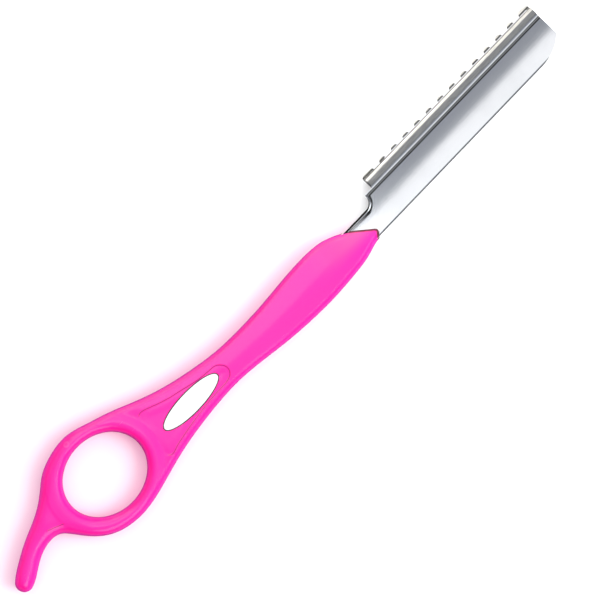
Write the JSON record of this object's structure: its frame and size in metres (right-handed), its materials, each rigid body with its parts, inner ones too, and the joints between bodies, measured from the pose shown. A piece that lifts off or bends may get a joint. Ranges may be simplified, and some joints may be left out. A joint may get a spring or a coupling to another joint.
{
  "type": "hair styling razor",
  "caption": "Hair styling razor: a pink ring handle with a finger tail, a folded steel holder with a comb guard and a slide-in blade.",
  "frame": {"origin": "middle of the razor's length and width, on the plane that its back lies on", "axes": "+X along the head towards its open end, +Y towards the comb side, +Z out of the label side"},
  "size_m": [0.234, 0.033, 0.0076],
  "materials": {
    "handle_plastic": "glossy moulded plastic, hot pink",
    "label_white": "smooth white, blank",
    "holder_steel": "polished stainless steel sheet",
    "blade_back_steel": "satin steel strip",
    "blade_edge_steel": "ground and polished blade steel",
    "pin_steel": "plain steel dowel"
  },
  "bodies": {
    "razor": {"handle_front": "handle_plastic", "handle_back": "handle_plastic", "label_plate": "label_white", "blade_holder": "holder_steel", "tang_pin_1": "pin_steel", "tang_pin_2": "pin_steel"},
    "blade": {"blade_back": "blade_back_steel", "blade_edge": "blade_edge_steel"}
  },
  "joints": [
    {"name": "blade_slide", "type": "slide", "parent": "razor", "child": "blade", "axis": [1, 0, 0], "range_m": [0, 0.0635]}
  ]
}
